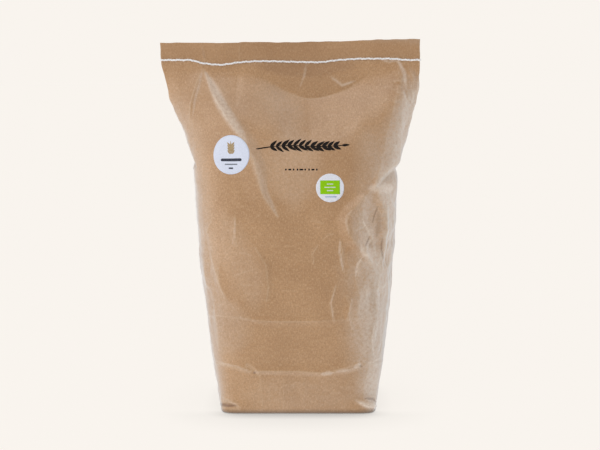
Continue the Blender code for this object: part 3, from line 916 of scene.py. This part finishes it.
def make_bag(kraft):
    """The paper: the outside from the base to the cut edge, then down the inside of the hem to the seam."""
    inner_rows = np.linspace(HEIGHT, SEAM_HEIGHT + INNER_END, INNER_ROWS)
    inner, _ = bag_surface(inner_rows[::-1], COLUMNS, PAPER_THICKNESS)
    mesh = grid_mesh("bag_paper", np.concatenate([POINTS, inner[::-1]]))
    heights = np.concatenate([ROWS, 2 * HEIGHT - inner_rows])
    close_bag(mesh, len(heights) - 1)
    lay_out_bag(mesh, heights)
    girth, z = np.meshgrid(girth_of(COLUMNS), ROWS)
    set_values(mesh, "wear", wear_of(POINTS, NORMALS))
    # Painted sheen: a paler grey where the paper turns sideways at the corners
    set_values(mesh, "painted_sheen", painted_sheen_of(NORMALS))
    # Pale rubbed wear along creases, and painted highlights and painted sheen on lit folds and broad areas
    set_values(mesh, "rubbed_and_painted_highlight", marked(girth, z, RUBBED_AND_PAINTED_HIGHLIGHTS))
    # Painted shade in the depth of folds and under the seam
    set_values(mesh, "painted_shade", marked(girth, z, PAINTED_SHADES))
    mesh.shade_smooth()
    mesh.set_sharp_from_angle(angle=math.radians(SHARP_ANGLE))
    add_piece("bag_paper", mesh, kraft, ["bag"])


# What lies on the paper, in metres: how thick and how far off it
BACK_STRIP_THICKNESS = 0.22 * MM
BACK_STRIP_LIFT = 0.02 * MM
BACK_STRIP_ENDS = (5 * MM, 0.8 * MM)
BACK_STRIP_GRID = (15, 262)
INK_THICKNESS = 0.05 * MM
LABEL_LIFT = 0.04 * MM
PAPER_INK_LIFT = 0.06 * MM
LABEL_INK_LIFT = LABEL_THICKNESS + 0.05 * MM

# The inks and label papers: colour and how rough they are
INK_GLOSS = 0.25
INKS = {
    "tan_ink": ((0.50, 0.36, 0.20), 0.5),
    "dark_ink": ((0.045, 0.05, 0.075), 0.5),
    "grey_ink": ((0.22, 0.24, 0.28), 0.5),
    "green_ink": ((0.33, 0.70, 0.004), 0.45),
    "white_ink": ((0.80, 0.86, 0.72), 0.5),
    "pale_blue_ink": ((0.42, 0.55, 0.72), 0.5),
}
LABEL_PAPERS = {
    "label_large": ("label_paper_look", (0.82, 0.86, 1.0), 0.5),
    "label_small": ("small_label_paper_look", (0.93, 0.93, 1.0), 0.5),
}

# The bars printed on the labels: label, ink, how far over the print's level, and the bars in millimetres from
# the label's middle: across, up, length, height and, where the ends aren't round, the corners' radius
LABEL_BARS = {
    "label_large_bars": ("label_large", "dark_ink", 0, ((0, -5.0, 23, 2.9), (0, -13.6, 5, 1.6))),
    "label_large_line": ("label_large", "grey_ink", 0, ((0, -9.6, 14, 1.2),)),
    "label_small_field": ("label_small", "green_ink", 0, ((0, 0.6, 21, 14.4, 0.4),)),
    "label_small_rows": ("label_small", "white_ink", 0.07,
                         ((0, 4, 7, 1.1), (0, 0.6, 12, 1.1), (0, -2.8, 7, 1.1))),
    "label_small_line": ("label_small", "pale_blue_ink", 0, ((0.6, -9.4, 12, 1.1),)),
}

# The small ear on the large label, in millimetres: where it starts, the length and width of its top grain and
# its side grains, how many pairs, how far apart, how far off the middle, and how far they lean in radians
SMALL_EAR = (1.0, (13.5, 2.2), (5.4, 2.1), 4, 2.6, 0.5, 0.72)

# The ear printed on the paper, in millimetres: its ends, how far its stem sags, waves and calms down, how
# wide the stem is and how much and how fast that changes, its pairs of grains and where on the stem they are
EAR_ENDS = ((-43, 284), (49, 289))
EAR_POINTS = 40
EAR_SAG = (2.2, 5.2, 0.4)
EAR_STEM = (1.0, 0.25, 19)
EAR_PAIRS = 12
EAR_SHARES = (0.16, 0.74)
EAR_SEED = 5

# The row of marks under it: their height on the paper, the first and the last, and length and height of each
MARKS_UP = 262.7
MARKS_ACROSS = (-11.5, 21.5)
DOT = (1.8, 2.2)
DASH = (3.4, 1.7)
LONG_DASH = (4.4, 1.7)
MARKS = (DOT, DASH, DOT, DOT, LONG_DASH, DOT, DOT, DASH, DOT)


def raised(girth, z, lift):
    """Places on the flat paper, carried onto the bag and lifted off it."""
    return on_paper(POINTS, girth, z) + on_paper(NORMALS, girth, z) * lift


def make_back_strip(kraft):
    """The glued overlap of the tube, a strip down the middle of the back."""
    low_end, high_end = BACK_STRIP_ENDS
    columns, rows = BACK_STRIP_GRID
    places_across = np.linspace(-BACK_STRIP_WIDTH / 2, BACK_STRIP_WIDTH / 2, columns) + 2 * HALF_FLAT
    girth, z = np.meshgrid(places_across, np.linspace(low_end, HEIGHT - high_end, rows))
    mesh = grid_mesh("back_seam_strip", raised(girth, z, BACK_STRIP_LIFT), close_round=False)
    lay_out(mesh, np.stack([girth.reshape(-1), z.reshape(-1)], axis=1))
    mesh.shade_smooth()
    add_sheet("back_seam_strip", mesh, BACK_STRIP_THICKNESS, kraft)


def dense(outline):
    """The same closed outline with points close together, so that it follows the paper."""
    points = []
    for a, b in zip(outline, np.roll(outline, -1, axis=0)):
        count = math.ceil(np.linalg.norm(b - a) / SHAPE_STEP)
        points.extend(a + (b - a) * k / count for k in range(count))
    return np.array(points)


def flat_shape_mesh(name, shapes, lift):
    """Flat shapes on the front, each a closed outline filled in rings, carried onto the paper."""
    vertices = []
    faces = []
    for outline in shapes:
        outline = dense(np.array(outline))
        middle = (outline.min(axis=0) + outline.max(axis=0)) / 2
        rings = math.ceil(np.linalg.norm(outline - middle, axis=1).max() / SHAPE_STEP)
        count = len(outline)
        first = len(vertices) + 1
        vertices.append(middle)
        for k in range(1, rings + 1):
            vertices.extend(middle + (outline - middle) * k / rings)
        for i in range(count):
            j = (i + 1) % count
            faces.append((first - 1, first + i, first + j))
            for low in range(first, first + (rings - 1) * count, count):
                faces.append((low + i, low + count + i, low + count + j, low + j))
    flat = np.array(vertices)
    mesh = bpy.data.meshes.new(name)
    mesh.from_pydata(raised(flat[:, 0], flat[:, 1], lift).tolist(), [], faces)
    mesh.shade_smooth()
    return mesh


def add_flat_shapes(name, shapes, lift, thickness, material, nodes=()):
    """Puts flat shapes on the front as one piece, made thick outwards."""
    mesh = flat_shape_mesh(name, shapes, lift)
    with edited(mesh) as shape:
        bmesh.ops.recalc_face_normals(shape, faces=shape.faces)
        if sum(face.normal.y * face.calc_area() for face in shape.faces) > 0:
            bmesh.ops.reverse_faces(shape, faces=shape.faces)
    add_sheet(name, mesh, thickness, material, nodes)


def circle(x, z, radius, count=96):
    """A circle's outline on the flat paper."""
    angle = np.linspace(0, 2 * math.pi, count, endpoint=False)
    return np.stack([x + radius * np.cos(angle), z + radius * np.sin(angle)], axis=1)


def rounded_bar(x, z, length, height, corner=None, count=6):
    """A bar with round corners, its outline on the flat paper."""
    corner = height / 2 if corner is None else corner
    points = []
    for quarter, (side_x, side_z) in enumerate(((1, 1), (-1, 1), (-1, -1), (1, -1))):
        middle_x = x + side_x * (length / 2 - corner)
        middle_z = z + side_z * (height / 2 - corner)
        for k in range(count):
            a = (quarter + k / (count - 1)) * math.pi / 2
            points.append((middle_x + corner * math.cos(a), middle_z + corner * math.sin(a)))
    return np.array(points)


def grain(x, z, length, width, turn, count=18):
    """A grain of wheat: an outline pointed at its far end, starting at its root and leaning by turn."""
    t = np.linspace(0, 1, count // 2 + 1)
    half = width / 2 * np.sin(math.pi * t**0.75) ** 0.9
    upper = np.stack([t * length, half], axis=1)
    lower = np.stack([t * length, -half], axis=1)[-2:0:-1]
    along, aside = np.concatenate([upper, lower]).T
    c = math.cos(turn)
    s = math.sin(turn)
    return np.stack([x + along * c - aside * s, z + along * s + aside * c], axis=1)


def stroke(points, widths):
    """A drawn line as short overlapping pieces, each with its own width."""
    shapes = []
    for a, b, width_a, width_b in zip(points[:-1], points[1:], widths[:-1], widths[1:]):
        d = (b - a) / np.linalg.norm(b - a)
        n = np.array((-d[1], d[0]))
        a = a - d * 0.08 * MM
        b = b + d * 0.08 * MM
        ends = (a + n * width_a / 2, a - n * width_a / 2, b - n * width_b / 2, b + n * width_b / 2)
        shapes.append(np.array(ends))
    return shapes


def make_ornament(ink):
    """The print on the front: a lying ear of wheat in black, and a short row of dots and dashes under it."""
    draw = np.random.default_rng(EAR_SEED)
    start, end = np.array(EAR_ENDS) * MM
    first_share, shares = EAR_SHARES
    t = np.linspace(0, 1, EAR_POINTS)
    sag, waves, calming = EAR_SAG
    sagging = np.stack([np.zeros(EAR_POINTS), sag * MM * np.sin(t * waves) * (1 - t * calming)], axis=1)
    stem = start + (end - start) * t[:, None] + sagging
    stem_width, change, changes = EAR_STEM
    shapes = stroke(stem, (stem_width + change * np.sin(t * changes)) * MM)
    for k in range(EAR_PAIRS):
        share = first_share + shares * k / (EAR_PAIRS - 1)
        x, z = [np.interp(share, t, stem[:, i]) for i in (0, 1)]
        for side in (1, -1):
            lean = side * (0.62 - 0.14 * share + draw.uniform(-0.10, 0.10))
            length = (11.5 - 5.0 * abs(share - 0.5)) * MM * draw.uniform(0.9, 1.08)
            width = 3.3 * MM * draw.uniform(0.9, 1.1)
            shapes.append(grain(x, z, length, width, lean + 0.06))
    shapes.append(grain(*stem[-1], 9 * MM, 2.6 * MM, 0.08))
    for place, (length, height) in zip(np.linspace(*MARKS_ACROSS, len(MARKS)), MARKS):
        shapes.append(rounded_bar(place * MM, MARKS_UP * MM, length * MM, height * MM))
    add_flat_shapes("printed_ornament", shapes, PAPER_INK_LIFT, INK_THICKNESS, ink)


def small_ear(x, z):
    """The upright ear over the middle of the large label."""
    start, top, side_grain, pairs, step, off, lean = SMALL_EAR
    grains = [grain(x, z + start * MM, top[0] * MM, top[1] * MM, math.pi / 2)]
    for k in range(pairs):
        root = z + (start + step * k) * MM
        for side in (1, -1):
            turn = math.pi / 2 - side * lean
            grains.append(grain(x + side * off * MM, root, side_grain[0] * MM, side_grain[1] * MM, turn))
    return grains


def make_labels():
    """The two round stickers with plain prints: an ear and bars, and a green field with light bars."""
    for name, (radius, x, z) in LABELS.items():
        paper = plain_material(*LABEL_PAPERS[name])
        disc = [circle(x, z, radius)]
        add_flat_shapes(name + "_paper", disc, LABEL_LIFT, LABEL_THICKNESS, paper, [name])
    inks = {name: plain_material(name, *look, gloss=INK_GLOSS) for name, look in INKS.items()}
    ear = small_ear(*LABELS["label_large"][1:])
    add_flat_shapes("label_large_ear", ear, LABEL_INK_LIFT, INK_THICKNESS, inks["tan_ink"])
    for name, (label, ink, over, bars) in LABEL_BARS.items():
        _, x, z = LABELS[label]
        shapes = [rounded_bar(x + right * MM, z + up * MM, *(size * MM for size in sizes))
                  for right, up, *sizes in bars]
        lift = LABEL_INK_LIFT + over * MM
        add_flat_shapes(name, shapes, lift, INK_THICKNESS, inks[ink])


# The thread: points round it and along it, how far its plies turn in, its ridges, and its pointed ends
THREAD_SIDES = 12
THREAD_STEPS = 560
PLY_TURN = 3.2 * MM
PLY_SIZES = (0.9, 0.13)
THREAD_POINT = 0.4 * MM
THREAD_PAST_ENDS = (0.5 * MM, 1.5 * MM)
THREAD_INSIDE = 0.3 * MM

# The front stitches' rise off the paper in radii, and their wobble. The back loops' radius, how far off the
# paper they lie and swing in radii, and how far they swing up and down.
FRONT_RISE = (-0.1, 1.0)
FRONT_WOBBLE = ((0.2 * MM, 610), (0.1 * MM, 1430))
BACK_RADIUS = THREAD_RADIUS * 0.85
BACK_RISE = (1.1, 0.55)
BACK_SWING = 0.75 * MM


def thread_tube(name, path, radius, material, nodes):
    """A twisted thread along a path: three plies wound round each other."""
    along = added_up(np.linalg.norm(np.diff(path, axis=0), axis=1))
    tangent = np.gradient(path, axis=0)
    tangent /= np.linalg.norm(tangent, axis=1, keepdims=True)
    side_way = np.cross(tangent, np.array((0.0, 0.0, 1.0)))
    side_way /= np.linalg.norm(side_way, axis=1, keepdims=True)
    up_way = np.cross(side_way, tangent)
    angle = np.linspace(0, 2 * math.pi, THREAD_SIDES, endpoint=False)
    twist = along[:, None] / PLY_TURN * 2 * math.pi
    size, ridge = PLY_SIZES
    reach = radius * (size + ridge * np.cos(THREAD_PLIES * (angle[None, :] - twist / THREAD_PLIES)))
    reach = reach * np.clip(np.minimum(along, along[-1] - along) / THREAD_POINT, 0.15, 1)[:, None]
    around = side_way[:, None] * np.cos(angle)[:, None] + up_way[:, None] * np.sin(angle)[:, None]
    mesh = grid_mesh(name, path[:, None] + around * reach[:, :, None])
    with edited(mesh) as shape:
        corners = list(shape.verts)
        shape.faces.new(corners[:THREAD_SIDES][::-1])
        shape.faces.new(corners[-THREAD_SIDES:])
        bmesh.ops.recalc_face_normals(shape, faces=shape.faces)
    mesh.shade_smooth()
    add_piece(name, mesh, material, nodes)


def thread_material():
    """White cotton thread, a little fuzzy."""
    material = plain_material("thread_look", (0.99, 0.965, 0.955), 0.85, 2600, 0.0001)
    tree = material.node_tree
    set_inputs(tree, tree.nodes["Principled BSDF"], {"Sheen Weight": 1.0, "Sheen Roughness": 0.6})
    return material


def make_stitches(thread):
    """The chain stitch: flat stitches along the front, and two loops wound together along the back."""
    left_past, right_past = THREAD_PAST_ENDS
    t = np.linspace(-HALF_FLAT - left_past, HALF_FLAT + right_past, THREAD_STEPS)
    inside = np.clip(t, -HALF_FLAT + THREAD_INSIDE, HALF_FLAT - THREAD_INSIDE)
    z = np.full(THREAD_STEPS, SEAM_HEIGHT)
    forward = np.array((0, -1, 0)) * np.ones((THREAD_STEPS, 1))
    wave = np.abs(np.sin(math.pi * t / STITCH_LENGTH))
    least, more = FRONT_RISE
    places = on_paper(POINTS, inside, z) + forward * (THREAD_RADIUS * (least + more * wave**0.5))[:, None]
    places[:, 0] += t - inside
    places[:, 2] += sum(rise * np.sin(t * turns) for rise, turns in FRONT_WOBBLE)
    thread_tube("front_stitches", places, THREAD_RADIUS, thread, ["front_stitching"])
    least, more = BACK_RISE
    for k, name in enumerate(("back_stitches_a", "back_stitches_b")):
        turn = math.pi * t / STITCH_LENGTH + k * math.pi
        off = (THREAD_RADIUS * (least + more * np.cos(turn)))[:, None]
        places = on_paper(POINTS, inside + 2 * HALF_FLAT, z) - forward * off
        places[:, 0] += -(t - inside)
        places[:, 2] += BACK_SWING * np.sin(turn)
        thread_tube(name, places, BACK_RADIUS, thread, ["back_stitching"])


# The flaps of the bottom, each one over the one before: its corners as a share of the way across the base and
# millimetres past it, then the same from front to back
FLAPS_INSET = 0.045
FLAP_LEVEL = 0.62 * MM
FLAP_STEP = 0.15 * MM
FLAP_THICKNESS = 0.14 * MM
FLAPS = {
    "bottom_left_flap": ((0, 3, 0, 12), (0, 46, 0.5, 0), (0, 3, 1, -12)),
    "bottom_right_flap": ((1, -3, 1, -12), (1, -46, 0.5, 0), (1, -3, 0, 12)),
    "bottom_back_flap": ((0, 10, 1, -2), (1, -10, 1, -2), (1, -34, 0.5, -8), (0, 34, 0.5, -8)),
    "bottom_front_flap": ((0, 10, 0, 2), (0, 36, 0.5, 14), (1, -36, 0.5, 14), (1, -10, 0, 2)),
}


def make_bottom(kraft):
    """The folded block bottom: two end flaps under two long flaps that overlap down the middle."""
    outline = POINTS[0][:, :2] * (1 - FLAPS_INSET) + POINTS[0][:, :2].mean(axis=0) * FLAPS_INSET
    low_x, low_y = outline.min(axis=0)
    wide, deep = outline.max(axis=0) - outline.min(axis=0)
    for layer, (name, corners) in enumerate(FLAPS.items()):
        level = FLAP_LEVEL - FLAP_STEP * layer
        mesh = bpy.data.meshes.new(name)
        with edited(mesh) as shape:
            sheet = shape.faces.new([
                shape.verts.new((low_x + share_x * wide + x * MM, low_y + share_y * deep + y * MM, level))
                for share_x, x, share_y, y in corners])
            if sheet.normal.z > 0:
                sheet.normal_flip()
            bmesh.ops.triangulate(shape, faces=[sheet])
            top = bmesh.ops.extrude_face_region(shape, geom=shape.faces[:])
            for item in top["geom"]:
                if isinstance(item, bmesh.types.BMVert):
                    item.co.z += FLAP_THICKNESS
            bmesh.ops.recalc_face_normals(shape, faces=shape.faces)
        lay_out(mesh, [(vertex.co.x, vertex.co.y) for vertex in mesh.vertices])
        add_piece(name, mesh, kraft)


# The floor's own colour, which takes little light, and the glow that makes it as pale as the backdrop
BACKDROP = (0.947, 0.905, 0.855)
FLOOR_SIZE = 60
FLOOR_COLOUR = (0.02, 0.0192, 0.018)
FLOOR_GRAIN = 1.01
FLOOR_GRAIN_SCALE = 40
FLOOR_GLOW = (0.933, 0.8914, 0.842)

# The bag's shade on the floor: reach and share of each layer; depths between which it fades, and what is left
CONTACT_SHADES = ((20 * MM, 0.53), (75 * MM, 0.29))
SHADE_FADES = (-62 * MM, -45 * MM)
SHADE_BESIDE = 0.2

# The surroundings' colour, and the soft lobes of light that they give: the way to each and its strength
SURROUND = (0.98, 0.99, 1.0)
SURROUND_LOBES = (
    ((1, 0, 0), 0.78),
    ((-1, 0, 0), 0.5),
    ((0, -1, 0), 0.15),
    ((0, 1, 0), 0.4),
    ((0, 0, 1), 0.3),
    ((0, 0, -1), 1.95),
)

# The suns: degrees round to the right from the front, degrees up, power, and width in degrees
SUNS = {
    "left": (-45, 16, 0.25, 45),
    "high_left": (-25, 58, 1.0, 40),
    "right_rim": (95, 10, 0.33, 40),
}
SOFTBOX_AT = (-0.78, -0.44, 0.34)
SOFTBOX_AIM = (0, 0, 0.2)
SOFTBOX_SIZE = 0.7
SOFTBOX_POWER = 1.8
CAMERA_AT = (0.0109, -1.30, 0.3676)
CAMERA_AIM = (0.0109, 0, 0.1976)
LENS = 71.28
SENSOR_WIDTH = 36


def add_lamp(name, kind, towards, power):
    """A lamp that stands, or shines from, the given way."""
    lamp = put_in_scene(name, bpy.data.lights.new(name, kind))
    lamp.data.energy = power
    lamp.rotation_euler = towards.to_track_quat("Z", "Y").to_euler()
    return lamp


def make_light():
    """Soft suns, a softbox, and pale surroundings that are dim on the camera's side."""
    for name, (turn, height, power, width) in SUNS.items():
        a = math.radians(turn)
        e = math.radians(height)
        towards = Vector((math.sin(a) * math.cos(e), -math.cos(a) * math.cos(e), math.sin(e)))
        add_lamp(name, "SUN", towards, power).data.angle = math.radians(width)
    softbox = add_lamp("softbox", "AREA", Vector(SOFTBOX_AT) - Vector(SOFTBOX_AIM), SOFTBOX_POWER)
    softbox.data.size = SOFTBOX_SIZE
    softbox.location = SOFTBOX_AT
    world = bpy.data.worlds.new("surroundings")
    world.use_nodes = True
    bpy.context.scene.world = world
    tree = world.node_tree
    tree.nodes.clear()
    place = node(tree, "ShaderNodeTexCoord").outputs["Generated"]
    level = 0.0
    for way, weight in SURROUND_LOBES:
        towards = node(tree, "ShaderNodeVectorMath", {0: place, 1: way}, operation="DOT_PRODUCT")
        squared = worked_out(tree, "POWER", worked_out(tree, "MAXIMUM", towards.outputs["Value"], 0.0), 2.0)
        level = worked_out(tree, "MULTIPLY_ADD", squared, weight, level)
    lit = node(tree, "ShaderNodeBackground", {"Color": SURROUND, "Strength": level}).outputs[0]
    seen = node(tree, "ShaderNodeBackground", {"Color": BACKDROP}).outputs[0]
    directly = node(tree, "ShaderNodeLightPath").outputs["Is Camera Ray"]
    mix = node(tree, "ShaderNodeMixShader", {0: directly, 1: lit, 2: seen}).outputs[0]
    node(tree, "ShaderNodeOutputWorld", {"Surface": mix})


def make_floor():
    """A wide pale floor that fades into the surroundings and is shaded close to the bag."""
    bpy.ops.mesh.primitive_plane_add(size=FLOOR_SIZE)
    floor = bpy.context.object
    floor.name = "floor"
    material, tree, shader = new_material("floor_look")
    place = node(tree, "ShaderNodeTexCoord").outputs["Object"]
    grains = remap(tree, noise(tree, place, FLOOR_GRAIN_SCALE), 0.3, 0.7, 0, 1)
    depth = node(tree, "ShaderNodeSeparateXYZ", {0: place}).outputs["Y"]
    strength = remap(tree, depth, *SHADE_FADES, 1.0, SHADE_BESIDE)
    glow = 1.0
    for reach, share in CONTACT_SHADES:
        open_share = node(tree, "ShaderNodeAmbientOcclusion", {"Distance": reach}, samples=8).outputs["AO"]
        shade = worked_out(tree, "MULTIPLY", remap(tree, open_share, 0, 1, share, 0), strength)
        glow = worked_out(tree, "SUBTRACT", glow, shade)
    set_inputs(tree, shader, {
        "Base Color": blend(tree, grains, FLOOR_COLOUR, tuple(c * FLOOR_GRAIN for c in FLOOR_COLOUR)),
        "Roughness": 1.0,
        "Specular IOR Level": 0.0,
        "Emission Color": FLOOR_GLOW,
        "Emission Strength": glow,
    })
    floor.data.materials.append(material)
    floor.visible_diffuse = False
    floor.visible_glossy = False
    floor.visible_shadow = False


def make_camera():
    """The camera at the photograph's place."""
    camera = put_in_scene("camera", bpy.data.cameras.new("camera"))
    camera.data.lens = LENS
    camera.data.sensor_width = SENSOR_WIDTH
    camera.location = CAMERA_AT
    camera.rotation_euler = (Vector(CAMERA_AIM) - Vector(CAMERA_AT)).to_track_quat("-Z", "Y").to_euler()
    bpy.context.scene.camera = camera
    bpy.context.scene.view_settings.view_transform = "Standard"


make_camera()
make_light()
make_floor()
kraft = kraft_material()
make_bag(kraft)
make_back_strip(kraft)
make_bottom(kraft)
make_ornament(plain_material("black_ink", (0.014, 0.010, 0.008), 0.6, gloss=0.15))
make_labels()
make_stitches(thread_material())
